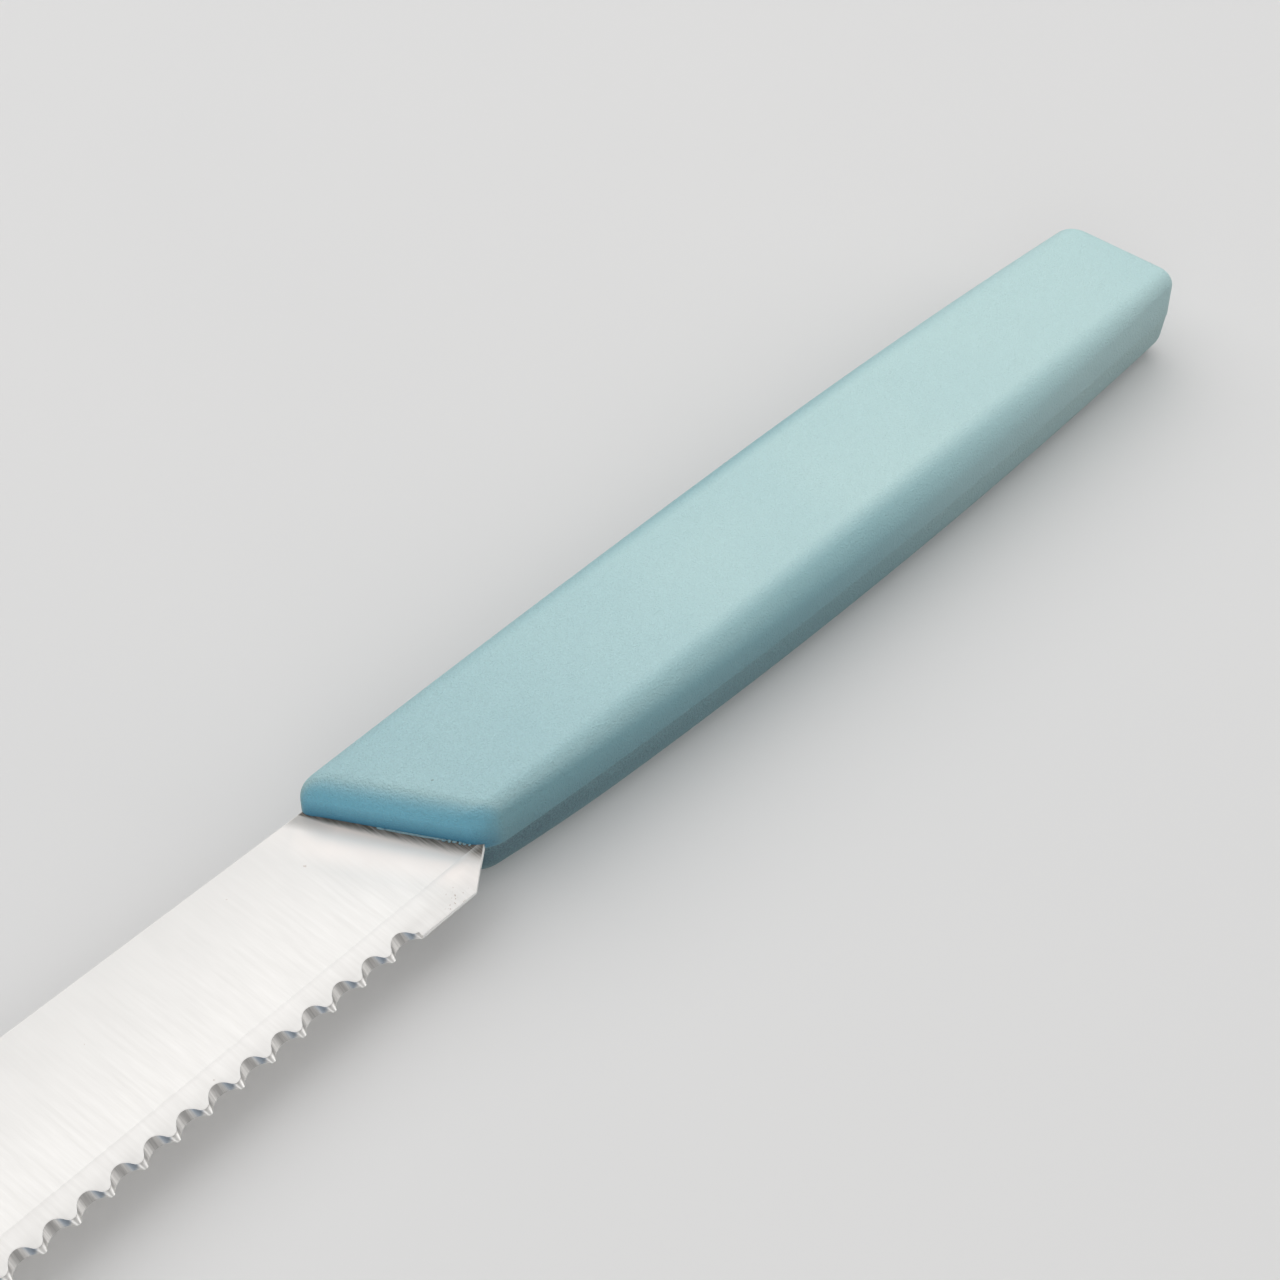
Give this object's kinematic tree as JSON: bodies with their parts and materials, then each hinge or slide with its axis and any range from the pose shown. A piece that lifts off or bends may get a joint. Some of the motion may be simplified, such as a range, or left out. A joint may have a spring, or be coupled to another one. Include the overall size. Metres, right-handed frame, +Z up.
{
  "type": "table knife",
  "caption": "Slim table knife with a scalloped, round-tipped steel blade and a rounded moulded plastic handle, lying on its side.",
  "frame": {"origin": "middle of the knife's length and width, on the surface that it lies on", "axes": "+X along the knife towards the blade's tip, +Y towards the cutting edge, +Z up from the surface, square to the blade's flat side"},
  "size_m": [0.2204, 0.0208, 0.0117],
  "materials": {
    "steel": "satin stainless sheet, brushed from spine to edge",
    "plastic": "pale aqua moulded polypropylene with a fine matte grain"
  },
  "bodies": {
    "root": {"blade": "steel", "handle": "plastic"}
  },
  "joints": []
}
